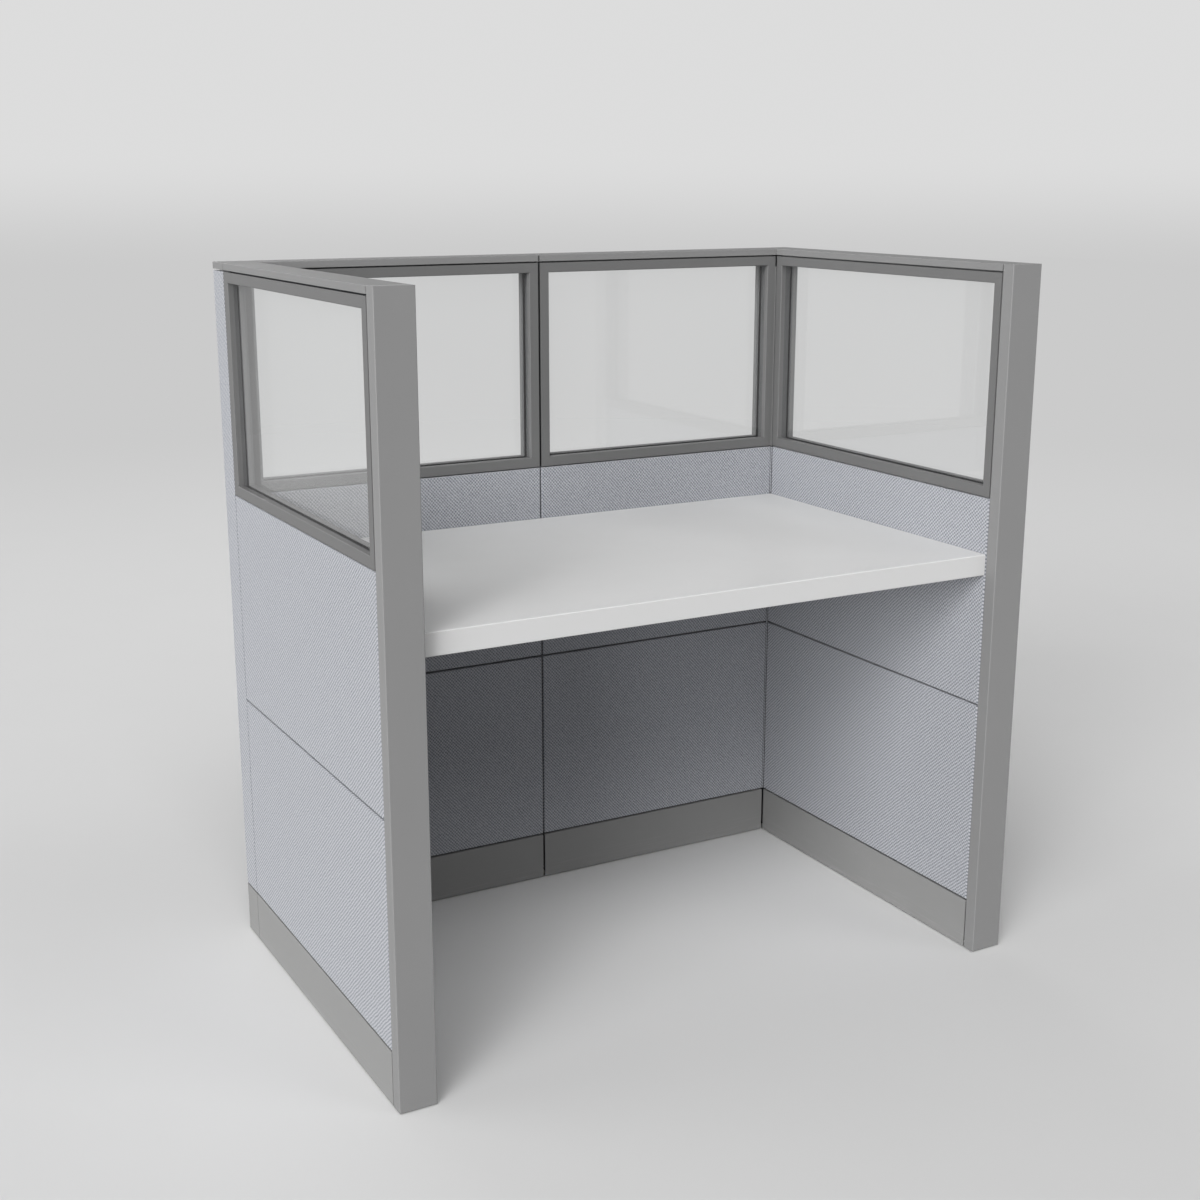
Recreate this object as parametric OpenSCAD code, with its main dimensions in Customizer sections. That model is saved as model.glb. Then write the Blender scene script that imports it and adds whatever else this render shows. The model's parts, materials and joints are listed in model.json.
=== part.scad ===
// Cubicle workstation: two wing panels and a two-bay back panel on adjustable glides, glazed
// above the desk, with hinged base covers and a worktop on brackets hooked into slotted strips.
// Origin at the floor under the middle of the footprint, X along the back, +Y to the back, +Z up.

/* [Station] */
// overall width over both wings
station_w = 1219.2; // [1100:0.1:1800]
// overall depth, end trim to the back face
station_d = 762; // [600:0.1:1000]
// overall height over the caps
station_h = 1270; // [1150:0.1:1600]
// thickness of every panel, face to face
panel_t = 63.5; // [62:0.1:70]
// open seam between the two back panels
centre_seam = 3.2; // [3:0.1:5]
// seam in which the corner brackets pass the inner tiles
bracket_seam = 3; // [2.8:0.1:5]
// joint between neighbouring inner faces in a corner
corner_gap = 0.8; // [0.4:0.1:2]
// how far the outer faces run past the inner corner line
outer_overhang = 2.3; // [1:0.1:2.8]
// width of the corner strip on each outer face
corner_leg = 60; // [58:0.1:60.5]
// rounding of the outer corner, as a bevel
corner_bevel = 2; // [0.5:0.1:2.4]

/* [Levels] */
// gap between the base covers and the floor
floor_gap = 2.5; // [1:0.1:10]
// top edge of the base covers
base_top = 95; // [80:0.1:120]
// dark gap over the base covers
base_gap = 3.4; // [2.5:0.1:6]
// top edge of the lower tiles
lower_tile_top = 478.7; // [400:0.1:560]
// gap between lower and upper tiles
tile_gap = 3.3; // [2:0.1:6]
// top edge of the upper tiles
upper_tile_top = 862.4; // [800:0.1:900]
// gap between upper tile and window frame
bezel_gap = 2.6; // [1:0.1:4]
// height of the top caps
cap_h = 11.8; // [8:0.1:20]
// shadow gap under the top caps
cap_gap = 2.9; // [1:0.1:5]

/* [Panel frame] */
// depth of the steel frame inside a panel
frame_d = 35; // [34:0.1:36]
// wall of the frame bars and uprights
rail_t = 2.5; // [2.2:0.1:3]
// distance from the panel end to the upright
end_inset = 4; // [3:0.1:5]
// height of the bottom rails
bottom_rail_h = 26; // [20:0.1:40]
// height of rail behind each tile edge
rail_lap = 11.4; // [11:0.1:16]
// small overlap by which welded pieces join
weld_bite = 0.2; // [0.1:0.05:0.4]
// distance from the panel end to the leg axis
leg_inset = 30; // [29.5:0.1:60]
// clear height between glide foot and leg
leg_clear = 2.5; // [2:0.1:6]
// thickness of the plate that closes a leg
foot_plate_t = 3; // [2:0.1:5]
// half width of the corner post tube
post_half = 19; // [18:0.1:19.5]
// height of a connector lug
lug_h = 40; // [20:1:60]
// play between a connector lug and the upright
lug_gap = 0.2; // [0.1:0.05:0.5]
// heights of the connector lugs as shares of the overall height
lug_shares = [0.12, 0.42, 0.9];

/* [Tiles] */
// thickness of a fabric tile
tile_t = 12.25; // [11:0.05:12.5]
// bevel along the edges of a tile
tile_bevel = 1.4; // [0.5:0.1:3]
// height of the clip strips behind a tile
clip_h = 9; // [6:0.1:9.8]
// distance from the tile edge to a clip strip
clip_edge = 1.5; // [1:0.1:1.5]
// distance from the tile end to a clip strip
clip_end = 14; // [13:0.1:40]

/* [Windows] */
// visible width of the window frame
bezel_w = 18.3; // [17:0.1:24]
// thickness of the frame face
bezel_t = 3; // [2:0.1:5]
// bevel beside the opening
bezel_bevel = 1; // [0.5:0.1:1.8]
// depth of the return into the opening
return_d = 10; // [6:0.1:13]
// wall of the leg that seats on the steel frame
bezel_leg_t = 2.7; // [2.4:0.1:4]
// play between gasket and bezel leg
gasket_play = 0.3; // [0.1:0.05:0.5]
// gap in each mitred corner
mitre_gap = 0.2; // [0.1:0.05:0.5]
// how far the mitre cutters run past the bars, as a share of the bar width
mitre_run_share = 0.1;
// thickness of the glazing block
glass_t = 24.3; // [20:0.1:26]
// how far the glazing is held behind the opening edge
glass_bite = 5.3; // [4:0.1:6]
// step of the gasket back from the opening edge
gasket_step = 0.8; // [0.3:0.1:1.5]
// thickness of the setting blocks under the glazing
set_block_t = 1; // [0.8:0.1:1.6]
// length of a setting block
set_block_l = 80; // [40:1:120]
// positions of the setting blocks as shares of the opening width
set_block_shares = [0.25, 0.75];

/* [Caps and end trims] */
// wall of the top caps
cap_t = 2.2; // [1.5:0.1:3]
// bevel along the top edges
cap_bevel = 1; // [0.5:0.1:1.8]
// joint between neighbouring caps
cap_joint = 1.2; // [0.6:0.1:2]
// depth of an end trim
trim_d = 24.5; // [20:0.1:40]
// seam between end trim and panel
trim_seam = 2.5; // [2:0.1:4]
// wall of an end trim
trim_t = 3; // [2:0.1:5]
// thickness of the two fins that fix a trim to the frame
fin_t = 2.2; // [1.5:0.1:3]
// length of fin inside the upright
fin_lap = 5; // [3:0.1:5.5]
// gap between an end trim and the floor
trim_floor = 2; // [1:0.1:8]

/* [Base covers] */
// wall of the hinged base covers
cover_t = 1.8; // [1.2:0.1:2.2]
// width of the lip at the bottom of a cover
lip_w = 9; // [4:0.1:12]
// radius of the fixed hinge bar
hinge_r = 2.5; // [2:0.1:3]
// play between the hinge bar and the hook
hook_play = 0.3; // [0.2:0.05:0.4]
// wall of the hook that wraps the hinge bar
hook_t = 2.2; // [1.9:0.1:2.6]
// angle over which the hook wraps the bar
hook_arc = 120; // [90:1:125]
// direction of the arm that carries the hinge bar
arm_angle = 45; // [40:1:50]
// thickness of that arm and of its fixing flange
arm_t = 1.6; // [1.2:0.1:1.8]
// end play of a base cover
cover_play = 0.5; // [0.3:0.1:1]
// end distance of a hinge rail
hinge_end = 5; // [1:0.1:12]

/* [Glides] */
// radius of a glide foot
foot_r = 16; // [12:0.1:20]
// thickness of a glide foot
foot_h = 6; // [4:0.1:10]
// bevel of a glide foot
foot_bevel = 2; // [1:0.1:3]
// radius of the nut on a glide
nut_r = 8; // [6:0.1:10]
// radius of the threaded stud
stud_r = 4; // [3:0.1:6]
// length of stud inside the leg
stud_l = 50; // [40:1:60]
// play between stud and leg plate
stud_play = 0.3; // [0.2:0.05:0.5]
// play between nut and leg at the upper stop
stop_play = 0.3; // [0.1:0.05:0.5]

/* [Slotted strips] */
// thickness of a slotted strip
strip_t = 1.6; // [1.2:0.05:1.8]
// reach of a strip onto the steel frame, from the panel end
strip_reach = 10; // [8:0.1:10.4]
// reach of a strip past the panel end
strip_over = 5.5; // [4:0.1:8]
// pitch of the slots
slot_pitch = 25.4; // [20:0.1:32]
// height of a slot
slot_h = 12; // [11:0.1:14]
// distance of a strip from the lower and upper end of the frame
strip_end = 6; // [4:0.1:20]

/* [Worktop] */
// height of the worktop surface
top_z = 762; // [650:0.1:800]
// thickness of the worktop
top_t = 38.1; // [25:0.1:50]
// gap between worktop and panels
top_gap = 1; // [0.5:0.1:4]
// bevel of the worktop front edges
top_bevel = 1.2; // [0.5:0.1:4]
// thickness of a bracket blade
blade_t = 2.4; // [2:0.1:2.5]
// reach of a bracket from the slotted strip
blade_l = 565; // [350:1:600]
// height of a blade at the wall
blade_wall_h = 120; // [100:1:180]
// height of a blade at its front end
blade_front_h = 22; // [15:1:60]
// length of the straight blade nose
blade_nose = 24; // [5:1:60]
// thickness of the bracket flange
flange_t = 2.5; // [2:0.1:4]
// width of the bracket flange
flange_w = 30; // [26:0.1:60]
// height of the hook neck in a slot
hook_h = 8; // [6:0.1:9]
// depth of a hook behind the strip
hook_d = 3; // [2:0.1:3.2]
// how far a hook drops behind the strip
hook_drop = 5; // [3:0.1:7]
// play between hook and strip
hook_gap = 0.2; // [0.1:0.05:0.3]
// number of hooks on a bracket
hook_count = 3; // [2:1:4]
// radius of a worktop screw
screw_r = 2.2; // [1.5:0.1:3]
// radius of a screw head
screw_head_r = 4.4; // [3.5:0.1:6]
// height of a screw head
screw_head_h = 2.4; // [2:0.1:4]
// depth of a screw in the worktop
screw_l = 18; // [10:1:22]
// play round a screw
screw_play = 0.2; // [0.1:0.05:0.4]
// screw positions as shares of the flange length
screw_shares = [0.12, 0.5, 0.88];

/* [Hidden] */
$fn = 48;
half = panel_t / 2;
inner_back_y = station_d / 2 - panel_t;
panel_front_y = -station_d / 2 + trim_d + trim_seam;
wing_l = inner_back_y - panel_front_y;
back_l = station_w / 2 - panel_t - centre_seam / 2;
wing_mid_x = station_w / 2 - half;
back_mid_y = station_d / 2 - half;
tile_z0 = base_top + base_gap;
upper_tile_z0 = lower_tile_top + tile_gap;
bezel_z0 = upper_tile_top + bezel_gap;
cap_z0 = station_h - cap_h;
bezel_z1 = cap_z0 - cap_gap;
open_z0 = bezel_z0 + bezel_w;
open_z1 = bezel_z1 - bezel_w;
open_x0 = corner_gap + bezel_w;
hold = glass_bite + set_block_t;
frame_in = frame_d / 2 - rail_t;
tile_back = half - tile_t;
leg_half = frame_in + weld_bite;
leg_z0 = foot_h + leg_clear;
upright_x1 = open_x0 - hold;
strip_z0 = tile_z0 + strip_end;
strip_z1 = bezel_z1 - strip_end;
slot_n = floor((strip_z1 - strip_z0) / slot_pitch);
hook_outer = hook_play + hinge_r + hook_t;
axis_y = half - hook_outer;
axis_z = base_top - hook_outer;
top_z0 = top_z - top_t;
top_x = station_w / 2 - panel_t - top_gap;
flange_z0 = top_z0 - flange_t;
strip_face_y = back_mid_y - frame_d / 2 - strip_t;
blade_tip_y = strip_face_y - blade_l;
top_back_y = inner_back_y - top_gap;
corner_blade_x = station_w / 2 - panel_t - bracket_seam / 2;
cap_corner_x = wing_mid_x - half + cap_joint / 2;
left = 0;
right = 1;
outer = 0;
inner = 1;

// cut of the inner faces at the corner end: the back panels leave the bracket seam open
function corner_cut(l) = l == back_l ? bracket_seam : corner_gap;
// far end of the tiles and window frames on the outer or the inner face
function face_end(l, f) = f == outer ? l + outer_overhang : l - corner_cut(l);
function open_x1(l) = l - corner_cut(l) - bezel_w;
function mix(a, b, t) = a + (b - a) * t;
function opened(l, m) = [open_x0 - m, open_x1(l) + m, open_z0 - m, open_z1 + m];
function slot_z(k) = strip_z0 + slot_pitch * (k + 1 / 2);
// rectangle with both corners on its far side bevelled
function bevelled(a0, a1, b0, b1, c) =
  [[a0, b0], [a1, b0], [a1, b1 - c], [a1 - c, b1], [a0 + c, b1], [a0, b1 - c]];

// a panel is drawn with its free end at x = 0, its corner end at x = l and its outer face at +y
module wing(s)
  mirror([s, 0, 0]) translate([-wing_mid_x, panel_front_y, 0]) rotate([0, 0, 90]) children();
module back(s)
  mirror([s, 0, 0]) translate([-centre_seam / 2, back_mid_y, 0]) mirror([1, 0, 0]) children();
module post(s)
  mirror([s, 0, 0]) translate([-wing_mid_x, back_mid_y, 0]) children();
module face(f) mirror([0, f, 0]) children();

module box(x0, x1, y0, y1, z0, z1)
  translate([x0, y0, z0]) cube([x1 - x0, y1 - y0, z1 - z0]);
module along_x(x0, x1)
  translate([x0, 0, 0]) rotate([90, 0, 90]) linear_extrude(height = x1 - x0) children();
module along_y(y0, y1)
  translate([0, y1, 0]) rotate([90, 0, 0]) linear_extrude(height = y1 - y0) children();
module along_z(z0, z1)
  translate([0, 0, z0]) linear_extrude(height = z1 - z0) children();

// steel frame: channel uprights, two bars on every level and a levelling leg at the free end
module panel_frame(l) color([0.33, 0.34, 0.36]) {
  x1 = open_x1(l) + hold;
  for (f = [outer, inner]) face(f) {
    rail_levels = [[tile_z0, tile_z0 + bottom_rail_h],
      [lower_tile_top - rail_lap, upper_tile_z0 + rail_lap],
      [upper_tile_top - rail_lap, open_z0 - hold], [open_z1 + hold, bezel_z1]];
    for (r = rail_levels) box(end_inset, l - end_inset, frame_in, frame_d / 2, r[0], r[1]);
  }
  upright(end_inset, upright_x1, 1);
  upright(x1, l - end_inset, 0);
  leg(leg_inset);
}

// channel that is open towards the end of the panel
module upright(x0, x1, near) difference() {
  box(x0, x1, -frame_d / 2, frame_d / 2, tile_z0, bezel_z1);
  box(near == 1 ? x0 - rail_t : x0 + rail_t, near == 1 ? x1 - rail_t : x1 + rail_t,
    -frame_in, frame_in, tile_z0 - rail_t, bezel_z1 + rail_t);
}

module leg(x) translate([x, 0, 0]) square_leg(leg_half, tile_z0 + bottom_rail_h);

// square tube with a bored plate at the foot
module square_leg(h, z1) difference() {
  box(-h, h, -h, h, leg_z0, z1);
  box(rail_t - h, h - rail_t, rail_t - h, h - rail_t, leg_z0 + foot_plate_t, z1 + rail_t);
  translate([0, 0, leg_z0 - foot_plate_t]) cylinder(h = 3 * foot_plate_t, r = stud_r + stud_play);
}

// corner post with the lugs that reach into the uprights of both panels
module corner_post() color([0.33, 0.34, 0.36]) {
  square_leg(post_half, bezel_z1);
  wing_web_y = open_x1(wing_l) + hold + rail_t - wing_l + inner_back_y - back_mid_y;
  back_web_x = wing_mid_x - centre_seam / 2 - open_x1(back_l) - hold - rail_t;
  g = frame_in - lug_gap;
  for (s = lug_shares) {
    box(-g, g, wing_web_y, weld_bite - post_half, s * station_h, s * station_h + lug_h);
    box(post_half - weld_bite, back_web_x, -g, g, s * station_h, s * station_h + lug_h);
  }
}

// angle over the two outer faces of a corner
module corner_angle(z0, z1) {
  h = half;
  i = half - corner_leg;
  along_z(z0, z1) polygon([[-h, i], [-h, h - corner_bevel], [corner_bevel - h, h], [-i, h],
    [-i, post_half], [-post_half, post_half], [-post_half, i]]);
}

module corner_post_cover() color([0.69, 0.7, 0.71]) corner_angle(tile_z0, bezel_z1);

// fabric tile with bevelled edges and two clip strips that seat on the rails
module tile(l, f, z0, z1) color([0.66, 0.69, 0.74]) face(f) {
  x1 = face_end(l, f);
  intersection() {
    along_z(z0, z1) polygon(bevelled(0, x1, tile_back, half, tile_bevel));
    along_x(0, l + panel_t)
      polygon([for (p = bevelled(z0, z1, tile_back, half, tile_bevel)) [p[1], p[0]]]);
  }
  for (z = [z0 + clip_edge, z1 - clip_edge - clip_h])
    box(clip_end, x1 - clip_end - outer_overhang, frame_d / 2, tile_back + weld_bite, z, z + clip_h);
}
module lower_tile(l, f) tile(l, f, tile_z0, lower_tile_top);
module upper_tile(l, f) tile(l, f, upper_tile_z0, upper_tile_top);

// section of a window bar: w counts outwards from the opening edge, then the height over the mid-plane
function bar_section(w) = [[0, half - return_d], [0, half - bezel_bevel], [bezel_bevel, half], [w, half],
  [w, half - bezel_t], [leg_w1, half - bezel_t], [leg_w1, frame_d / 2], [leg_w0, frame_d / 2],
  [leg_w0, half - return_d]];
leg_w0 = glass_bite + gasket_play;
leg_w1 = leg_w0 + bezel_leg_t;

// four mitred bars on each face of the panel
module window_frame(l) color([0.47, 0.48, 0.5])
  for (f = [outer, inner]) face(f) {
    x0 = corner_gap;
    x1 = face_end(l, f);
    o = opened(l, 0);
    corners = [[[x0, bezel_z0], [o[0], o[2]]], [[x1, bezel_z0], [o[1], o[2]]],
      [[x1, bezel_z1], [o[1], o[3]]], [[x0, bezel_z1], [o[0], o[3]]]];
    mitred(corners[0], corners[1], [mitre_gap / 2, 0])
      along_x(x0, x1) polygon([for (p = bar_section(bezel_w)) [p[1], o[2] - p[0]]]);
    mitred(corners[3], corners[2], [mitre_gap / 2, 0])
      along_x(x0, x1) polygon([for (p = bar_section(bezel_w)) [p[1], o[3] + p[0]]]);
    mitred(corners[0], corners[3], [0, mitre_gap / 2])
      along_z(bezel_z0, bezel_z1) polygon([for (p = bar_section(o[0] - x0)) [o[0] - p[0], p[1]]]);
    mitred(corners[1], corners[2], [0, mitre_gap / 2])
      along_z(bezel_z0, bezel_z1) polygon([for (p = bar_section(x1 - o[1])) [o[1] + p[0], p[1]]]);
  }

// trims a bar to the lines from the outer to the inner corners a and b, each end set back by g
module mitred(a, b, g) intersection() {
  children();
  t = mitre_run_share;
  along_y(0, panel_t) polygon([mix(a[0], a[1], -t) + g, mix(b[0], b[1], -t) - g,
    mix(b[0], b[1], 1 + t) - g, mix(a[0], a[1], 1 + t) + g]);
}

module glazing(l) color([0.85, 0.9, 0.9, 0.35]) {
  o = opened(l, glass_bite);
  box(o[0], o[1], -glass_t / 2, glass_t / 2, o[2], o[3]);
}

module ring(l) {
  o = opened(l, glass_bite);
  i = opened(l, gasket_step);
  difference() {
    translate([o[0], o[2]]) square([o[1] - o[0], o[3] - o[2]]);
    translate([i[0], i[2]]) square([i[1] - i[0], i[3] - i[2]]);
  }
}

// gaskets on both sides of the glazing and the setting blocks under it
module gaskets(l) {
  for (f = [outer, inner]) face(f) along_y(glass_t / 2, half - return_d) ring(l);
  o = opened(l, 0);
  z1 = open_z0 - glass_bite;
  for (s = set_block_shares) {
    x = mix(o[0], o[1], s);
    box(x - set_block_l / 2, x + set_block_l / 2, -frame_d / 2, frame_d / 2, z1 - set_block_t, z1);
  }
}

module glazing_gaskets() color([0.12, 0.12, 0.13]) for (s = [left, right]) {
  wing(s) gaskets(wing_l);
  back(s) gaskets(back_l);
}

// section of a top cap: a shallow channel with two ribs that stand on the frame
module cap_section() {
  z1 = station_h;
  z2 = z1 - cap_t;
  r = [frame_in, frame_d / 2];
  polygon([[-half, cap_z0], [-half, z1 - cap_bevel], [cap_bevel - half, z1], [half - cap_bevel, z1],
    [half, z1 - cap_bevel], [half, cap_z0], [half - cap_t, cap_z0], [half - cap_t, z2],
    [r[1], z2], [r[1], bezel_z1], [r[0], bezel_z1], [r[0], z2], [-r[0], z2], [-r[0], bezel_z1],
    [-r[1], bezel_z1], [-r[1], z2], [cap_t - half, z2], [cap_t - half, cap_z0]]);
}
module cap(l) color([0.58, 0.59, 0.6])
  along_x(0, l == back_l ? l - cap_joint / 2 : l + outer_overhang) cap_section();

// corner cap: bevelled lid, open below, with a square rib on the post
module corner_cap() {
  x1 = wing_mid_x - cap_corner_x;
  y0 = half - corner_leg;
  difference() {
    intersection() {
      along_x(-half, x1) polygon([[y0, cap_z0], [half, cap_z0], [half, station_h - cap_bevel],
        [half - cap_bevel, station_h], [y0, station_h]]);
      along_y(y0, half) polygon([[-half, cap_z0], [x1, cap_z0], [x1, station_h],
        [cap_bevel - half, station_h], [-half, station_h - cap_bevel]]);
    }
    box(cap_t - half, x1 - cap_t, y0 + cap_t, half - cap_t, cap_z0 - cap_t, station_h - cap_t);
  }
  difference() {
    box(-post_half, post_half, -post_half, post_half, bezel_z1, station_h - cap_t + weld_bite);
    box(rail_t - post_half, post_half - rail_t, rail_t - post_half, post_half - rail_t,
      bezel_z1 - rail_t, station_h - cap_t);
  }
}
module corner_caps() color([0.58, 0.59, 0.6]) for (s = [left, right]) post(s) corner_cap();

// full-height end trim with a closed top and two fins inside the upright
module end_trim() color([0.6, 0.61, 0.62]) {
  x0 = -trim_d - trim_seam;
  i = half - trim_t;
  along_z(trim_floor, station_h) polygon([[-trim_seam, half], [x0 + cap_bevel, half],
    [x0, half - cap_bevel], [x0, cap_bevel - half], [x0 + cap_bevel, -half], [-trim_seam, -half],
    [-trim_seam, -i], [x0 + trim_t, -i], [x0 + trim_t, i], [-trim_seam, i]]);
  box(x0 + trim_t - weld_bite, -trim_seam, -i - weld_bite, i + weld_bite, station_h - cap_t, station_h);
  for (f = [outer, inner]) face(f)
    box(x0 + trim_t - weld_bite, end_inset + fin_lap, frame_in - fin_t, frame_in, tile_z0, bezel_z1);
}

// hinged base cover: skin, bottom lip and the hook that turns on the hinge bar
module base_cover(l, f) color([0.62, 0.63, 0.64]) face(f) {
  x0 = cover_play;
  x1 = face_end(l, f) - cover_play;
  r = 2 * hook_outer;
  along_x(x0, x1) polygon([[half - lip_w, floor_gap], [half, floor_gap], [half, axis_z],
    [half - cover_t, axis_z], [half - cover_t, floor_gap + cover_t], [half - lip_w, floor_gap + cover_t]]);
  along_x(x0, x1) polygon([[half - cover_t, axis_z - cover_t], [half, axis_z - cover_t],
    [half, base_top - cap_bevel], [half - cap_bevel, base_top], [half - cover_t, base_top]]);
  along_x(x0, x1) translate([axis_y, axis_z]) difference() {
    circle(r = hook_outer);
    circle(r = hook_play + hinge_r);
    polygon([[0, 0], [r * cos(hook_arc), r * sin(hook_arc)], [-r, r], [-r, -r], [r, -r], [r, 0]]);
  }
}

// fixed hinge bar on its arm and fixing flange, under the bottom rail
module hinge_rail(l, f) face(f) {
  x0 = hinge_end;
  x1 = l - hinge_end;
  y1 = frame_d / 2;
  drop = (axis_y - y1) * tan(arm_angle);
  n = arm_t / 2 / cos(arm_angle);
  z = axis_z - drop;
  along_x(x0, x1) translate([axis_y, axis_z]) circle(r = hinge_r);
  along_x(x0, x1) polygon([[axis_y, axis_z + n], [axis_y, axis_z - n], [y1 - arm_t / 2, z - 2 * n],
    [y1 - arm_t / 2, z + n]]);
  box(x0, x1, y1 - arm_t, y1, z - 2 * n, tile_z0);
}
module hinge_rails() color([0.33, 0.34, 0.36])
  for (s = [left, right], f = [outer, inner]) {
    wing(s) hinge_rail(wing_l, f);
    back(s) hinge_rail(back_l, f);
  }

// corner base cover: a thin-walled angle, open at the floor
module corner_base_cover() difference() {
  corner_angle(floor_gap, base_top);
  h = half - cover_t;
  i = half - corner_leg + cover_t;
  p = post_half + cover_t;
  along_z(floor_gap - cover_t, base_top - cover_t)
    polygon([[-h, i], [-h, h], [-i, h], [-i, p], [-p, p], [-p, i]]);
}
module corner_base_covers() color([0.62, 0.63, 0.64])
  for (s = [left, right]) post(s) corner_base_cover();

module glide() color([0.15, 0.15, 0.16]) {
  stop_z = leg_z0 - stop_play;
  tip_z = leg_z0 + stud_l;
  rotate_extrude() polygon([[0, 0], [foot_r - foot_bevel, 0], [foot_r, foot_bevel / 2],
    [foot_r, foot_h - foot_bevel], [foot_r - foot_bevel, foot_h], [nut_r, foot_h], [nut_r, stop_z],
    [stud_r, stop_z], [stud_r, tip_z - cap_bevel], [stud_r - cap_bevel, tip_z], [0, tip_z]]);
}

// slotted strip on a frame face, drawn between x0 and x1 with its slots centred on xs
module strip(x0, x1, xs) difference() {
  box(x0, x1, frame_d / 2, frame_d / 2 + strip_t, strip_z0, strip_z1);
  for (k = [0 : slot_n - 1])
    box(xs - bracket_seam / 2, xs + bracket_seam / 2, frame_in, half,
      slot_z(k) - slot_h / 2, slot_z(k) + slot_h / 2);
}
module slotted_strips() color([0.28, 0.29, 0.3]) {
  for (s = [left, right]) {
    for (f = [outer, inner]) wing(s) face(f) strip(-strip_over, strip_reach, -trim_seam / 2);
    back(s) face(inner) strip(back_l - strip_reach, back_l + strip_over, back_l - bracket_seam / 2);
  }
  c = centre_seam / 2 + strip_reach;
  for (f = [outer, inner]) translate([0, back_mid_y, 0]) face(f) strip(-c, c, 0);
}

// bracket with its blade in the plane x = 0 and its flange between x0 and x1
module bracket(x0, x1) {
  y = strip_face_y;
  z = flange_z0;
  top_hook = floor((z - slot_h - strip_z0) / slot_pitch) - 1;
  y2 = y + strip_t + hook_gap;
  difference() {
    union() {
      along_x(-blade_t / 2, blade_t / 2) polygon([[y, z + flange_t], [blade_tip_y, z + flange_t],
        [blade_tip_y, z - blade_front_h], [blade_tip_y + blade_nose, z - blade_front_h],
        [y, z - blade_wall_h]]);
      for (k = [0 : hook_count - 1]) {
        n = slot_z(top_hook - k) + hook_h / 2;
        along_x(-blade_t / 2, blade_t / 2) polygon([[y - strip_t, n], [y2 + hook_d, n],
          [y2 + hook_d, n - hook_h - hook_drop], [y2, n - hook_h - hook_drop], [y2, n - hook_h],
          [y - strip_t, n - hook_h]]);
      }
      box(x0, x1, blade_tip_y, top_back_y, z, top_z0);
    }
    screws_at(x1) cylinder(h = 3 * flange_t, r = screw_r + screw_play, center = true);
  }
}
module screws_at(x1) for (s = screw_shares)
  translate([x1 / 2 + blade_t, mix(blade_tip_y, top_back_y, s), flange_z0]) children();

module bracket_places() {
  children();
  for (s = [left, right]) mirror([s, 0, 0]) translate([-corner_blade_x, 0, 0]) children();
}
module worktop_brackets() color([0.22, 0.22, 0.23]) {
  bracket(-flange_w / 2, flange_w / 2);
  for (s = [left, right]) mirror([s, 0, 0]) translate([-corner_blade_x, 0, 0])
    bracket(-blade_t / 2, flange_w / 2);
}
module worktop_screws() color([0.6, 0.6, 0.6]) bracket_places() screws_at(flange_w / 2) {
  translate([0, 0, -screw_head_h]) cylinder(h = screw_head_h, r = screw_head_r);
  cylinder(h = flange_t + screw_l, r = screw_r);
}

module worktop() color([0.86, 0.87, 0.87]) difference() {
  y0 = panel_front_y;
  c = top_bevel;
  along_x(-top_x, top_x) polygon([[y0 + c, top_z0], [top_back_y, top_z0], [top_back_y, top_z],
    [y0 + c, top_z], [y0, top_z - c], [y0, top_z0 + c]]);
  bracket_places() screws_at(flange_w / 2)
    cylinder(h = flange_t + screw_l + screw_play, r = screw_r + screw_play);
}

wing(left) panel_frame(wing_l);  // left_wing_frame
back(left) panel_frame(back_l);  // back_left_frame
back(right) panel_frame(back_l);  // back_right_frame
wing(right) panel_frame(wing_l);  // right_wing_frame
post(left) corner_post();  // left_corner_post
post(right) corner_post();  // right_corner_post
post(left) corner_post_cover();  // left_corner_post_cover
post(right) corner_post_cover();  // right_corner_post_cover
wing(left) lower_tile(wing_l, inner);  // left_wing_inner_lower_tile
wing(left) upper_tile(wing_l, inner);  // left_wing_inner_upper_tile
wing(left) lower_tile(wing_l, outer);  // left_wing_outer_lower_tile
wing(left) upper_tile(wing_l, outer);  // left_wing_outer_upper_tile
back(left) lower_tile(back_l, inner);  // back_left_inner_lower_tile
back(left) upper_tile(back_l, inner);  // back_left_inner_upper_tile
back(left) lower_tile(back_l, outer);  // back_left_outer_lower_tile
back(left) upper_tile(back_l, outer);  // back_left_outer_upper_tile
back(right) lower_tile(back_l, inner);  // back_right_inner_lower_tile
back(right) upper_tile(back_l, inner);  // back_right_inner_upper_tile
back(right) lower_tile(back_l, outer);  // back_right_outer_lower_tile
back(right) upper_tile(back_l, outer);  // back_right_outer_upper_tile
wing(right) lower_tile(wing_l, inner);  // right_wing_inner_lower_tile
wing(right) upper_tile(wing_l, inner);  // right_wing_inner_upper_tile
wing(right) lower_tile(wing_l, outer);  // right_wing_outer_lower_tile
wing(right) upper_tile(wing_l, outer);  // right_wing_outer_upper_tile
wing(left) window_frame(wing_l);  // left_wing_window_frame
back(left) window_frame(back_l);  // back_left_window_frame
back(right) window_frame(back_l);  // back_right_window_frame
wing(right) window_frame(wing_l);  // right_wing_window_frame
wing(left) glazing(wing_l);  // left_wing_glazing
back(left) glazing(back_l);  // back_left_glazing
back(right) glazing(back_l);  // back_right_glazing
wing(right) glazing(wing_l);  // right_wing_glazing
glazing_gaskets();
wing(left) cap(wing_l);  // left_wing_cap
back(left) cap(back_l);  // back_left_cap
back(right) cap(back_l);  // back_right_cap
wing(right) cap(wing_l);  // right_wing_cap
corner_caps();
wing(left) end_trim();  // left_end_trim
wing(right) end_trim();  // right_end_trim
wing(left) base_cover(wing_l, inner);  // left_wing_inner_base_cover
wing(left) base_cover(wing_l, outer);  // left_wing_outer_base_cover
back(left) base_cover(back_l, inner);  // back_left_inner_base_cover
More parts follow.
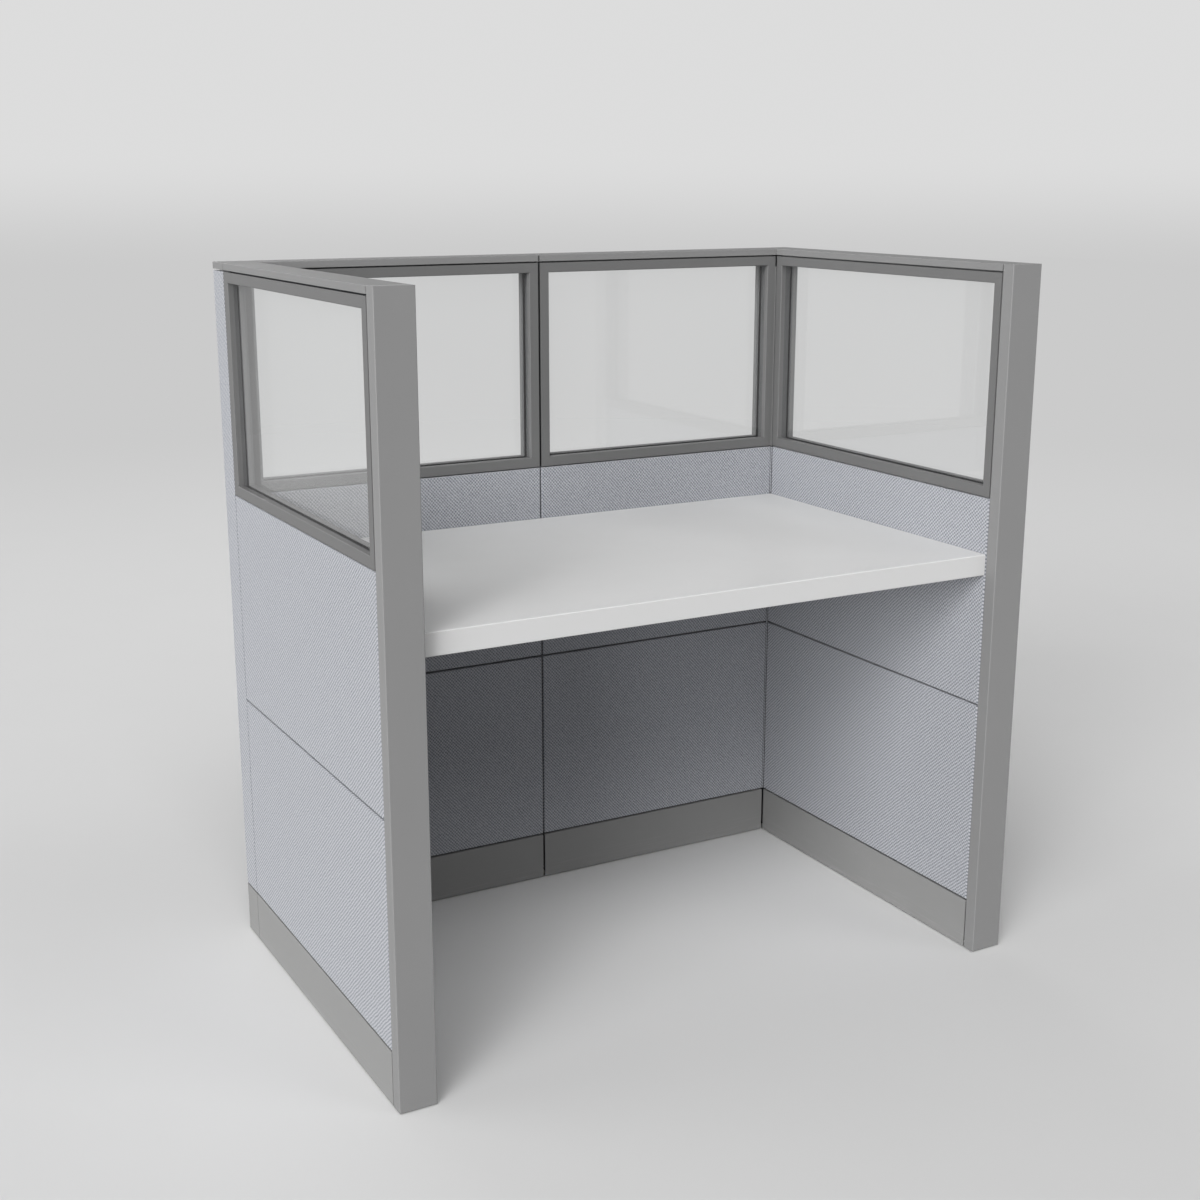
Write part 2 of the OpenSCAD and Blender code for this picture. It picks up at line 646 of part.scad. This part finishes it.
back(left) base_cover(back_l, outer);  // back_left_outer_base_cover
back(right) base_cover(back_l, inner);  // back_right_inner_base_cover
back(right) base_cover(back_l, outer);  // back_right_outer_base_cover
wing(right) base_cover(wing_l, inner);  // right_wing_inner_base_cover
wing(right) base_cover(wing_l, outer);  // right_wing_outer_base_cover
corner_base_covers();
hinge_rails();
slotted_strips();
wing(left) translate([leg_inset, 0, 0]) glide();  // left_front_glide
wing(right) translate([leg_inset, 0, 0]) glide();  // right_front_glide
post(left) glide();  // left_corner_glide
post(right) glide();  // right_corner_glide
back(left) translate([leg_inset, 0, 0]) glide();  // back_left_glide
back(right) translate([leg_inset, 0, 0]) glide();  // back_right_glide
worktop();
worktop_brackets();
worktop_screws();
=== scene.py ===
import json
import math

import bmesh
import bpy
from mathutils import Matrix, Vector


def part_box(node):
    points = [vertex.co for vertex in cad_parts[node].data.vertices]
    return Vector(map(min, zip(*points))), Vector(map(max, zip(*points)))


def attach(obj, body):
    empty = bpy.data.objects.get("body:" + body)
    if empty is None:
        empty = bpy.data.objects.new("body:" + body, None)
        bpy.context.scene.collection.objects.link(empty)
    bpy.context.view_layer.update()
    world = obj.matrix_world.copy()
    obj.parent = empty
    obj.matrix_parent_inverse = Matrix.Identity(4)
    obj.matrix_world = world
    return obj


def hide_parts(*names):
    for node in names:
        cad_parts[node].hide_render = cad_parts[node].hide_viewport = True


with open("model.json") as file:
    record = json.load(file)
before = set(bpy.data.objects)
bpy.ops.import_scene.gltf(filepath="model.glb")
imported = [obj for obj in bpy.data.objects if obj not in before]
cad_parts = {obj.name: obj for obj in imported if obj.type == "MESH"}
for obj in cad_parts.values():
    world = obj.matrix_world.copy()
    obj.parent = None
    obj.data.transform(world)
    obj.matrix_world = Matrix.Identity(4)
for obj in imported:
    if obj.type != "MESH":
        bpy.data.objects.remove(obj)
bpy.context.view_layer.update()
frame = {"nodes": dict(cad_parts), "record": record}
nodes = frame["nodes"]
print("frame loaded:", len(nodes), "nodes")


# camera at the photographer's place, 50 mm lens on a 36 mm sensor
cameraSettings = {
    "location": (-1.4566, -2.5550, 1.4194),
    "pitchDown": 0.2505,
    "turnRight": 0.5052,
    "lens": 50.0,
    "sensor": 36.0,
}


def makeCamera(s):
    data = bpy.data.cameras.new("photoCamera")
    data.lens = s["lens"]
    data.sensor_width = s["sensor"]
    camera = bpy.data.objects.new("photoCamera", data)
    camera.location = s["location"]
    camera.rotation_euler = (math.pi / 2 - s["pitchDown"], 0.0, -s["turnRight"])
    bpy.context.scene.collection.objects.link(camera)
    bpy.context.scene.camera = camera


makeCamera(cameraSettings)
print("camera placed")


# small helpers for node trees
def addNode(tree, kind, **values):
    node = tree.nodes.new(kind)
    for name, value in values.items():
        setattr(node, name, value)
    return node


def feed(tree, socket, value):
    if isinstance(value, bpy.types.NodeSocket):
        tree.links.new(value, socket)
    elif value is not None:
        socket.default_value = value


def mathNode(tree, operation, first, second=None, third=None, clamp=False):
    node = addNode(tree, "ShaderNodeMath", operation=operation, use_clamp=clamp)
    for socket, value in zip(node.inputs, (first, second, third)):
        feed(tree, socket, value)
    return node.outputs[0]


def remap(tree, value, fromLow, fromHigh, toLow=0.0, toHigh=1.0, smooth=False):
    node = addNode(tree, "ShaderNodeMapRange", clamp=True)
    if smooth:
        node.interpolation_type = "SMOOTHSTEP"
    for socket, item in zip(node.inputs, (value, fromLow, fromHigh, toLow, toHigh)):
        feed(tree, socket, item)
    return node.outputs[0]


def noise(tree, coords, scale, detail=3.0, roughness=0.55):
    node = addNode(tree, "ShaderNodeTexNoise")
    for label, value in {"Vector": coords, "Scale": scale, "Detail": detail, "Roughness": roughness}.items():
        feed(tree, node.inputs[label], value)
    return node.outputs["Fac"]


def mixColor(tree, amount, first, second):
    node = addNode(tree, "ShaderNodeMix", data_type="RGBA")
    for label, value in {"Factor": amount, "A": first, "B": second}.items():
        feed(tree, node.inputs[label], value)
    return node.outputs["Result"]


def mixShaders(tree, amount, first, second):
    node = addNode(tree, "ShaderNodeMixShader")
    for socket, value in zip(node.inputs, (amount, first, second)):
        tree.links.new(value, socket)
    return node.outputs[0]


def stretched(tree, coords, scale):
    node = addNode(tree, "ShaderNodeMapping")
    feed(tree, node.inputs["Vector"], coords)
    node.inputs["Scale"].default_value = scale
    return node.outputs[0]


def axesOf(tree, vector):
    node = addNode(tree, "ShaderNodeSeparateXYZ")
    tree.links.new(vector, node.inputs[0])
    return node.outputs


def newGroup(name, inputs):
    group = bpy.data.node_groups.new(name, "ShaderNodeTree")
    sides = {"INPUT": inputs, "OUTPUT": {"Color": "Color", "Height": "Float", "Roughness": "Float"}}
    for side, sockets in sides.items():
        for label, kind in sockets.items():
            group.interface.new_socket(label, in_out=side, socket_type="NodeSocket" + kind)
    start = group.nodes.new("NodeGroupInput")
    end = group.nodes.new("NodeGroupOutput")
    return group, start.outputs, end.inputs


# twill cloth: diagonal ribs crossed by weaker ones, with fine yarns, slubs and a soft mottle;
# a window is the part of a noise that is spread over the whole effect
clothPattern = {
    "wanderScale": 38.0,
    "wanderWindow": (0.3, 0.7),
    "wander": (-0.16, 0.16),
    "mottleScale": 16.0,
    "crossWindow": (0.35, 0.65),
    "crossing": (0.3, 1.7),
    "slubScale": 300.0,
    "slubStretch": (1.0, 1.0, 1.6),
    "slubRoughness": 0.7,
    "slubWindow": (0.25, 0.75),
    "fibreScale": 1500.0,
    "fibreHeight": 0.2,
    "roughWindow": (0.2, 0.8),
    "rough": (0.86, 0.97),
}


def makeClothGroup(s):
    group, given, out = newGroup("twillCloth", {
        "Vector": "Vector", "Light Yarn": "Color", "Dark Yarn": "Color", "Rib Step": "Vector",
        "Rib Share": "Float", "Cross Share": "Float", "Slub Share": "Float"})
    place = given["Vector"]
    turns = addNode(group, "ShaderNodeVectorMath", operation="DIVIDE")
    group.links.new(place, turns.inputs[0])
    group.links.new(given["Rib Step"], turns.inputs[1])
    x, y, z = axesOf(group, turns.outputs[0])
    along = mathNode(group, "ADD", x, y)
    wander = remap(group, noise(group, place, s["wanderScale"]), *s["wanderWindow"], *s["wander"])
    up = mathNode(group, "ADD", z, wander)
    waves = []
    for operation in ("ADD", "SUBTRACT"):
        phase = mathNode(group, "MULTIPLY", mathNode(group, operation, up, along), 2 * math.pi)
        waves.append(mathNode(group, "SINE", phase))
    mottle = noise(group, place, s["mottleScale"], detail=4.0)
    crossing = remap(group, mottle, *s["crossWindow"], *s["crossing"])
    crossed = mathNode(group, "MULTIPLY", given["Cross Share"], crossing)
    weave = mathNode(group, "MULTIPLY_ADD", waves[1], crossed, waves[0])
    drawn = stretched(group, place, s["slubStretch"])
    slub = noise(group, drawn, s["slubScale"], roughness=s["slubRoughness"])
    uneven = mathNode(group, "MULTIPLY", remap(group, slub, *s["slubWindow"], -1.0, 1.0), given["Slub Share"])
    ribs = mathNode(group, "MULTIPLY_ADD", weave, given["Rib Share"], 0.5)
    tone = mathNode(group, "ADD", ribs, uneven, clamp=True)
    group.links.new(mixColor(group, tone, given["Dark Yarn"], given["Light Yarn"]), out["Color"])
    fibre = noise(group, place, s["fibreScale"], detail=2.0)
    group.links.new(mathNode(group, "MULTIPLY_ADD", fibre, s["fibreHeight"], tone), out["Height"])
    group.links.new(remap(group, mottle, *s["roughWindow"], *s["rough"]), out["Roughness"])
    return group


# coat of paint or plastic: fine orange peel, uneven sheen, rubbed spots and floor scuffs
coatPattern = {
    "cloudScale": 6.0,
    "cloudWindow": (0.25, 0.75),
    "cloudShade": (0.985, 1.012),
    "cloudRough": (-0.03, 0.04),
    "grainWindow": (0.3, 0.7),
    "grainShade": (-0.012, 0.012),
    "spotWindow": (0.56, 0.8),
    "spotGrainWindow": (0.45, 0.7),
    "streakScale": 3.0,
    "streakStretch": (3.0, 3.0, 90.0),
    "streakRoughness": 0.7,
    "streakWindow": (0.5, 0.72),
    "scuffGain": 1.6,
    "scuffRough": 0.15,
}


def makeCoatGroup(s):
    group, given, out = newGroup("wornCoat", {
        "Vector": "Vector", "Color": "Color", "Rubbed Color": "Color", "Roughness": "Float",
        "Grain Scale": "Float", "Wear": "Float", "Scuff Height": "Float"})
    place = given["Vector"]
    grain = noise(group, place, given["Grain Scale"], detail=2.0, roughness=0.5)
    cloud = noise(group, place, s["cloudScale"], detail=4.0)
    drawn = stretched(group, place, s["streakStretch"])
    streak = noise(group, drawn, s["streakScale"], detail=5.0, roughness=s["streakRoughness"])
    low = remap(group, axesOf(group, place)[2], given["Scuff Height"], 0.0)
    scuff = mathNode(group, "MULTIPLY", low, remap(group, streak, *s["streakWindow"]))
    spots = mathNode(group, "MULTIPLY", remap(group, cloud, *s["spotWindow"]),
                     remap(group, grain, *s["spotGrainWindow"]))
    rubbed = mathNode(group, "MULTIPLY", spots, given["Wear"], clamp=True)
    scuffWear = mathNode(group, "MULTIPLY", given["Wear"], s["scuffGain"])
    scuffed = mathNode(group, "MULTIPLY", scuff, scuffWear, clamp=True)
    shade = mathNode(group, "ADD", remap(group, cloud, *s["cloudWindow"], *s["cloudShade"]),
                     remap(group, grain, *s["grainWindow"], *s["grainShade"]))
    tinted = addNode(group, "ShaderNodeVectorMath", operation="SCALE")
    group.links.new(given["Color"], tinted.inputs[0])
    group.links.new(shade, tinted.inputs["Scale"])
    color = mixColor(group, rubbed, tinted.outputs[0], given["Rubbed Color"])
    group.links.new(mixColor(group, scuffed, color, given["Rubbed Color"]), out["Color"])
    group.links.new(grain, out["Height"])
    uneven = remap(group, cloud, *s["cloudWindow"], *s["cloudRough"])
    rough = mathNode(group, "ADD", given["Roughness"], uneven)
    extra = mathNode(group, "MULTIPLY", scuffed, s["scuffRough"])
    group.links.new(mathNode(group, "ADD", rough, extra, clamp=True), out["Roughness"])
    return group


clothGroup = makeClothGroup(clothPattern)
coatGroup = makeCoatGroup(coatPattern)


def newMaterial(name):
    material = bpy.data.materials.new(name)
    material.use_nodes = True
    tree = material.node_tree
    tree.nodes.clear()
    shader = addNode(tree, "ShaderNodeBsdfPrincipled")
    output = addNode(tree, "ShaderNodeOutputMaterial")
    tree.links.new(shader.outputs[0], output.inputs["Surface"])
    coords = addNode(tree, "ShaderNodeTexCoord").outputs["Object"]
    return material, tree, shader, coords


# shows another shader than the plain Principled one in the material's output
def showShader(tree, shader):
    output = next(node for node in tree.nodes if node.type == "OUTPUT_MATERIAL")
    tree.links.new(shader, output.inputs["Surface"])


def bumpFrom(tree, shader, height, strength, distance):
    bump = addNode(tree, "ShaderNodeBump")
    bump.inputs["Strength"].default_value = strength
    bump.inputs["Distance"].default_value = distance
    tree.links.new(height, bump.inputs["Height"])
    tree.links.new(bump.outputs[0], shader.inputs["Normal"])


# a material whose colour, roughness and bump come from one of the two groups
def groupMaterial(name, group, groupInputs, s):
    material, tree, shader, coords = newMaterial(name)
    node = addNode(tree, "ShaderNodeGroup", node_tree=group)
    tree.links.new(coords, node.inputs["Vector"])
    for label, setting in groupInputs.items():
        node.inputs[label].default_value = s[setting]
    tree.links.new(node.outputs["Color"], shader.inputs["Base Color"])
    tree.links.new(node.outputs["Roughness"], shader.inputs["Roughness"])
    shader.inputs["Specular IOR Level"].default_value = s["specular"]
    bumpFrom(tree, shader, node.outputs["Height"], s["bump"], s["bumpDepth"])
    return material, shader


clothSettings = {
    "lightYarn": (0.415, 0.424, 0.446, 1),
    "darkYarn": (0.1, 0.106, 0.126, 1),
    "ribStep": (0.0065, 0.0080, 0.00706),
    "ribShare": 0.25,
    "crossShare": 0.5,
    "slubShare": 0.3,
    "specular": 0.25,
    "sheen": 0.12,
    "sheenRoughness": 0.5,
    "bump": 0.4,
    "bumpDepth": 0.0004,
}


def clothMaterial(name, s):
    material, shader = groupMaterial(name, clothGroup, {
        "Light Yarn": "lightYarn", "Dark Yarn": "darkYarn", "Rib Step": "ribStep",
        "Rib Share": "ribShare", "Cross Share": "crossShare", "Slub Share": "slubShare"}, s)
    shader.inputs["Sheen Weight"].default_value = s["sheen"]
    shader.inputs["Sheen Roughness"].default_value = s["sheenRoughness"]
    return material


def coatSettings(color, rubbed, roughness, metallic=0.0, grainScale=900.0, wear=0.3,
                 scuffHeight=0.06, specular=0.25, bump=0.08, bumpDepth=0.0002):
    return {"color": color + (1,), "rubbed": rubbed + (1,), "roughness": roughness, "metallic": metallic,
            "grainScale": grainScale, "wear": wear, "scuffHeight": scuffHeight, "specular": specular,
            "bump": bump, "bumpDepth": bumpDepth}


coats = {
    "framePowderCoat": coatSettings((0.07, 0.075, 0.08), (0.3, 0.3, 0.31), 0.5, metallic=0.2),
    "bezelPaint": coatSettings((0.113, 0.113, 0.113), (0.15, 0.15, 0.15), 0.5, wear=0.08),
    "trimPaint": coatSettings((0.18, 0.18, 0.18), (0.25, 0.25, 0.25), 0.5, wear=0.1),
    "capPaint": coatSettings((0.18, 0.18, 0.18), (0.25, 0.25, 0.25), 0.55, wear=0.1, specular=0.08),
    "coverPlastic": coatSettings((0.2, 0.2, 0.198), (0.3, 0.3, 0.3), 0.5, grainScale=700.0, scuffHeight=0.05),
    # dark colour of the glazing blocks' edge faces: painted shade in the window channels
    "glassEdgeShade": coatSettings((0.06, 0.06, 0.062), (0.09, 0.09, 0.09), 0.6, grainScale=500.0, wear=0.1),
    "gasketRubber": coatSettings((0.018, 0.018, 0.02), (0.08, 0.08, 0.08), 0.6, grainScale=500.0, wear=0.2),
    "stripSteel": coatSettings((0.06, 0.06, 0.065), (0.35, 0.35, 0.36), 0.45, metallic=0.4, wear=0.6),
    "bracketSteel": coatSettings((0.05, 0.05, 0.052), (0.35, 0.35, 0.36), 0.45, metallic=0.3, wear=0.4),
    "glideNylon": coatSettings((0.03, 0.03, 0.032), (0.2, 0.2, 0.2), 0.5, grainScale=600.0, wear=0.8,
                               scuffHeight=0.01),
    "screwZinc": coatSettings((0.55, 0.55, 0.57), (0.7, 0.7, 0.7), 0.3, metallic=1.0, grainScale=1200.0),
}


def coatMaterial(name, s):
    material, shader = groupMaterial(name, coatGroup, {
        "Color": "color", "Rubbed Color": "rubbed", "Roughness": "roughness",
        "Grain Scale": "grainScale", "Wear": "wear", "Scuff Height": "scuffHeight"}, s)
    shader.inputs["Metallic"].default_value = s["metallic"]
    return material


# white laminate: fine speckle, a rubbed sheen towards the front, and painted shade that makes the side faces
# greyer than the top
laminateSettings = {
    "color": (0.6, 0.6, 0.6, 1),
    "fleck": (0.545, 0.545, 0.545, 1),
    # greyer colour of the side faces: painted shade
    "edgeShade": (0.47, 0.47, 0.47, 1),
    "edgeShadeWindow": (0.3, 0.9),
    "fleckScale": 700.0,
    "fleckWindow": (0.5, 0.68),
    "fleckShare": 0.25,
    "cloudScale": 5.0,
    "cloudWindow": (0.3, 0.7),
    "cloudShare": 0.1,
    "roughness": (0.41, 0.52),
    "specular": 0.16,
    "bump": 0.05,
    "bumpDepth": 0.0001,
    "frontY": -0.354,
    "wornDepth": 0.25,
    "wornShare": 0.08,
}


def laminateMaterial(s):
    material, tree, shader, coords = newMaterial("worktopLaminate")
    fleck = noise(tree, coords, s["fleckScale"], detail=2.0)
    cloud = noise(tree, coords, s["cloudScale"], detail=4.0)
    speckle = mathNode(tree, "MULTIPLY", remap(tree, fleck, *s["fleckWindow"]), s["fleckShare"])
    amount = mathNode(tree, "ADD", speckle, remap(tree, cloud, *s["cloudWindow"], 0.0, s["cloudShare"]))
    normal = addNode(tree, "ShaderNodeNewGeometry").outputs["Normal"]
    # faces that are not level get the greyer colour: painted shade by face direction
    flat = remap(tree, mathNode(tree, "ABSOLUTE", axesOf(tree, normal)[2]), *s["edgeShadeWindow"])
    top = mixColor(tree, amount, s["color"], s["fleck"])
    tree.links.new(mixColor(tree, flat, s["edgeShade"], top), shader.inputs["Base Color"])
    front = s["frontY"]
    worn = remap(tree, axesOf(tree, coords)[1], front + s["wornDepth"], front, 0.0, s["wornShare"])
    uneven = remap(tree, cloud, *s["cloudWindow"], *s["roughness"])
    tree.links.new(mathNode(tree, "SUBTRACT", uneven, worn), shader.inputs["Roughness"])
    shader.inputs["Specular IOR Level"].default_value = s["specular"]
    bumpFrom(tree, shader, fleck, s["bump"], s["bumpDepth"])
    return material


# clear glazing with faint patches of dust, through which the studio light passes unbent
glazingSettings = {
    "tint": (0.985, 0.99, 0.99, 1),
    "ior": 1.5,
    "clear": 0.98,
    "dustScale": 7.0,
    "dustWindow": (0.45, 0.75),
    "dustRough": (0.0, 0.003),
}


def glazingMaterial(s):
    material, tree, shader, coords = newMaterial("clearGlazing")
    shader.inputs["Base Color"].default_value = s["tint"]
    shader.inputs["Metallic"].default_value = 0.0
    shader.inputs["Transmission Weight"].default_value = s["clear"]
    shader.inputs["IOR"].default_value = s["ior"]
    dust = noise(tree, coords, s["dustScale"], detail=4.0)
    tree.links.new(remap(tree, dust, *s["dustWindow"], *s["dustRough"]), shader.inputs["Roughness"])
    clear = addNode(tree, "ShaderNodeBsdfTransparent")
    clear.inputs[0].default_value = s["tint"]
    path = addNode(tree, "ShaderNodeLightPath").outputs
    passed = mathNode(tree, "MAXIMUM", path["Is Shadow Ray"], path["Is Diffuse Ray"])
    showShader(tree, mixShaders(tree, passed, shader.outputs[0], clear.outputs[0]))
    return material


materials = {name: coatMaterial(name, s) for name, s in coats.items()}
materials["tileCloth"] = clothMaterial("tileCloth", clothSettings)
materials["worktopLaminate"] = laminateMaterial(laminateSettings)
materials["clearGlazing"] = glazingMaterial(glazingSettings)

finishes = {
    "frame_steel": "framePowderCoat", "bezel_paint": "bezelPaint", "trim_paint": "trimPaint",
    "cap_paint": "capPaint", "cover_plastic": "coverPlastic", "tile_fabric": "tileCloth",
    "corner_fabric": "tileCloth", "glazing_clear": "clearGlazing", "gasket_rubber": "gasketRubber",
    "strip_steel": "stripSteel", "bracket_steel": "bracketSteel", "glide_nylon": "glideNylon",
    "worktop_laminate": "worktopLaminate", "screw_steel": "screwZinc",
}
for part in frame["record"]["subparts"]:
    for materialSlot in nodes[part["node"]].material_slots:
        materialSlot.material = materials[finishes[part["material_slot"]]]
print("materials made:", len(materials))


# a fixed piece of the scene's own, in the material of its slot
def makePiece(name, vertices, faces, slotName):
    mesh = bpy.data.meshes.new(name)
    mesh.from_pydata(vertices, [], faces)
    mesh.materials.append(materials[finishes[slotName]])
    shape = bmesh.new()
    shape.from_mesh(mesh)
    bmesh.ops.recalc_face_normals(shape, faces=shape.faces)
    shape.to_mesh(mesh)
    shape.free()
    piece = bpy.data.objects.new(name, mesh)
    bpy.context.scene.collection.objects.link(piece)
    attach(piece, "station")
    return piece


# the sides of a tube whose rings of count vertices follow one another
def tubeFaces(rings, count):
    faces = []
    for ring in range(rings - 1):
        for step in range(count):
            first, second = ring * count + step, ring * count + (step + 1) % count
            faces.append((first, second, second + count, first + count))
    return faces


# the two ends of such a tube
def tubeEnds(rings, count):
    return [tuple(reversed(range(count))), tuple(range((rings - 1) * count, rings * count))]


# glazing as deep as it shows in the photo, with a step that seats in the channel and edge faces painted dark
# as shade in the channel
blockSettings = {"deep": 0.0217, "tongue": 0.01215, "bite": 0.0053, "lap": 0.0005}


def glazingBlock(node, s):
    lowest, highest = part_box(node)
    across = min((0, 1), key=lambda axis: highest[axis] - lowest[axis])
    along = 1 - across
    middle = (lowest[across] + highest[across]) / 2
    rings = [(-s["deep"], s["lap"]), (-s["tongue"], s["lap"]), (-s["tongue"], s["bite"]),
             (s["tongue"], s["bite"]), (s["tongue"], s["lap"]), (s["deep"], s["lap"])]
    vertices = []
    for depth, reach in rings:
        inset = s["bite"] - reach
        a0, a1 = lowest[along] + inset, highest[along] - inset
        z0, z1 = lowest[2] + inset, highest[2] - inset
        for a, z in ((a0, z0), (a1, z0), (a1, z1), (a0, z1)):
            point = [0.0, 0.0, z]
            point[across], point[along] = middle + depth, a
            vertices.append(point)
    ends = tubeEnds(len(rings), 4)
    block = makePiece(node + "_block", vertices, ends + tubeFaces(len(rings), 4), "glazing_clear")
    # the edge faces take the dark colour, painted shade in the channel
    block.data.materials.append(materials["glassEdgeShade"])
    for polygon in block.data.polygons[len(ends):]:
        polygon.material_index = 1
    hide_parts(node)


for name in nodes:
    if name.endswith("_glazing"):
        glazingBlock(name, blockSettings)
print("glazing blocks placed")


# half-round beads that close the seams in the two inner corners, clear of the brackets: cloth
# between the tiles and paint between the window frames
beadSettings = {
    "x": 0.5446,
    "y": 0.3177,
    "radius": 0.0014,
    "steps": 8,
    "spans": {"low": (0.0990, 0.56), "high": (0.764, 0.8618), "top": (0.8634, 1.235)},
    "slots": {"low": "corner_fabric", "high": "corner_fabric", "top": "bezel_paint"},
}


def cornerBead(side, level, s):
    vertices = []
    for z in s["spans"][level]:
        for step in range(s["steps"] + 1):
            turn = math.pi * step / s["steps"]
            x = s["x"] - s["radius"] * math.cos(turn)
            vertices.append((side * x, s["y"] - s["radius"] * math.sin(turn), z))
    count = s["steps"] + 1
    name = ("left" if side < 0 else "right") + "_corner_bead_" + level
    makePiece(name, vertices, tubeFaces(2, count) + tubeEnds(2, count), s["slots"][level])


for side in (-1, 1):
    for level in beadSettings["spans"]:
        cornerBead(side, level, beadSettings)
print("corner beads placed")


# rubber light seal between the two back panels, behind the slotted strips and their hooks
sealSettings = {"low": (-0.0014, 0.34125, 0.1), "high": (0.0014, 0.35725, 1.235)}


def lightSeal(s):
    (x0, y0, z0), (x1, y1, z1) = s["low"], s["high"]
    vertices = [(x, y, z) for z in (z0, z1) for x, y in ((x0, y0), (x1, y0), (x1, y1), (x0, y1))]
    makePiece("centre_light_seal", vertices, tubeEnds(2, 4) + tubeFaces(2, 4), "gasket_rubber")


lightSeal(sealSettings)
print("light seal placed")


# pale seamless paper that fades into the backdrop
floorSettings = {
    "size": 40.0,
    "color": (0.62, 0.62, 0.62, 1),
    "stain": (0.5, 0.5, 0.5, 1),
    "stainScale": 3.0,
    "stainWindow": (0.3, 0.7),
    "stainShare": (0.0, 0.04),
    "roughness": 0.9,
    "specular": 0.1,
    "backdrop": (0.597, 0.597, 0.597, 1),
    "fadeStart": 2.6,
    "fadeEnd": 7.0,
}


def makeFloor(s):
    half = s["size"] / 2
    corners = [(-half, -half, 0), (half, -half, 0), (half, half, 0), (-half, half, 0)]
    mesh = bpy.data.meshes.new("studioFloor")
    mesh.from_pydata(corners, [], [(0, 1, 2, 3)])
    floor = bpy.data.objects.new("studioFloor", mesh)
    bpy.context.scene.collection.objects.link(floor)
    material, tree, shader, coords = newMaterial("studioPaper")
    stain = remap(tree, noise(tree, coords, s["stainScale"]), *s["stainWindow"], *s["stainShare"])
    tree.links.new(mixColor(tree, stain, s["color"], s["stain"]), shader.inputs["Base Color"])
    shader.inputs["Roughness"].default_value = s["roughness"]
    shader.inputs["Specular IOR Level"].default_value = s["specular"]
    glow = addNode(tree, "ShaderNodeEmission")
    glow.inputs[0].default_value = s["backdrop"]
    distance = addNode(tree, "ShaderNodeVectorMath", operation="LENGTH")
    tree.links.new(coords, distance.inputs[0])
    fade = remap(tree, distance.outputs["Value"], s["fadeStart"], s["fadeEnd"], smooth=True)
    showShader(tree, mixShaders(tree, fade, shader.outputs[0], glow.outputs[0]))
    mesh.materials.append(material)


makeFloor(floorSettings)
print("floor laid")


# backdrop that is seen directly, by reflection and through the glazing, and an even ambient light
worldSettings = {
    "low": (0.597, 0.597, 0.597, 1),
    "high": (0.72, 0.72, 0.72, 1),
    "horizonLow": -0.055,
    "horizonHigh": 0.012,
    "ambient": 0.14,
}


def makeWorld(s):
    world = bpy.data.worlds.new("studio")
    bpy.context.scene.world = world
    world.use_nodes = True
    tree = world.node_tree
    tree.nodes.clear()
    coords = addNode(tree, "ShaderNodeTexCoord").outputs["Generated"]
    rise = remap(tree, axesOf(tree, coords)[2], s["horizonLow"], s["horizonHigh"], smooth=True)
    path = addNode(tree, "ShaderNodeLightPath").outputs
    seen = mathNode(tree, "MAXIMUM", path["Is Camera Ray"], path["Is Transmission Ray"])
    seen = mathNode(tree, "MAXIMUM", seen, path["Is Glossy Ray"])
    backdrop = addNode(tree, "ShaderNodeBackground")
    tree.links.new(mixColor(tree, rise, s["low"], s["high"]), backdrop.inputs[0])
    ambient = addNode(tree, "ShaderNodeBackground")
    ambient.inputs[0].default_value = (1, 1, 1, 1)
    ambient.inputs[1].default_value = s["ambient"]
    output = addNode(tree, "ShaderNodeOutputWorld")
    surface = mixShaders(tree, seen, ambient.outputs[0], backdrop.outputs[0])
    tree.links.new(surface, output.inputs["Surface"])


makeWorld(worldSettings)
print("world made")


# soft lights from far away, not seen through the glazing; azimuth 0 shines along +Y, and negative
# azimuths come from the left
lampSettings = {
    "keyLight": {"azimuth": -60, "elevation": 10, "spread": 36, "strength": 3.5},
    "highLight": {"azimuth": -45, "elevation": 40, "spread": 24, "strength": 1.3},
    "frontLight": {"azimuth": -15, "elevation": 42, "spread": 24, "strength": 0.85},
    "rightLight": {"azimuth": 40, "elevation": 48, "spread": 24, "strength": 0.37},
    "sideLight": {"azimuth": -120, "elevation": 40, "spread": 40, "strength": 0.56},
    "backLight": {"azimuth": 180, "elevation": 20, "spread": 40, "strength": 0.58},
}


def softLight(name, s):
    data = bpy.data.lights.new(name, "SUN")
    data.energy = s["strength"]
    data.angle = math.radians(s["spread"])
    light = bpy.data.objects.new(name, data)
    light.rotation_euler = (math.radians(90 - s["elevation"]), 0.0, math.radians(s["azimuth"]))
    light.visible_transmission = False
    bpy.context.scene.collection.objects.link(light)


for name, lamp in lampSettings.items():
    softLight(name, lamp)
bpy.context.scene.view_settings.view_transform = "Standard"
print("studio lit")
